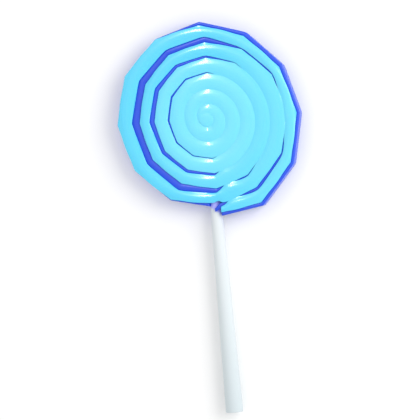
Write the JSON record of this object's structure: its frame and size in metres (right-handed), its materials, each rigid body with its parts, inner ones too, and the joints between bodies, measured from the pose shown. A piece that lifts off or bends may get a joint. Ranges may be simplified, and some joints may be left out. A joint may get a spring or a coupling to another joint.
{
  "type": "swirl lollipop",
  "caption": "Flat round swirl lollipop: a cyan candy rope wound in a spiral with a deep-blue strand in its grooves and round its rim, on a tapering white stick.",
  "frame": {"origin": "middle of the swirl, on the flat back that the lollipop lies on", "axes": "+Z out of the shown face, straight up as it lies; -Y along the stick to its free end; +X to the right of the shown face"},
  "size_m": [0.0676, 0.1437, 0.0084],
  "materials": {
    "cyan_candy": "glossy boiled-sugar candy, cyan, slightly translucent",
    "blue_candy": "glossy boiled-sugar candy, deep blue, slightly translucent",
    "white_paper": "tightly rolled white paper with a smooth satin surface"
  },
  "bodies": {
    "root": {"candy_rope": "cyan_candy", "blue_strand": "blue_candy", "stick": "white_paper"}
  },
  "joints": []
}
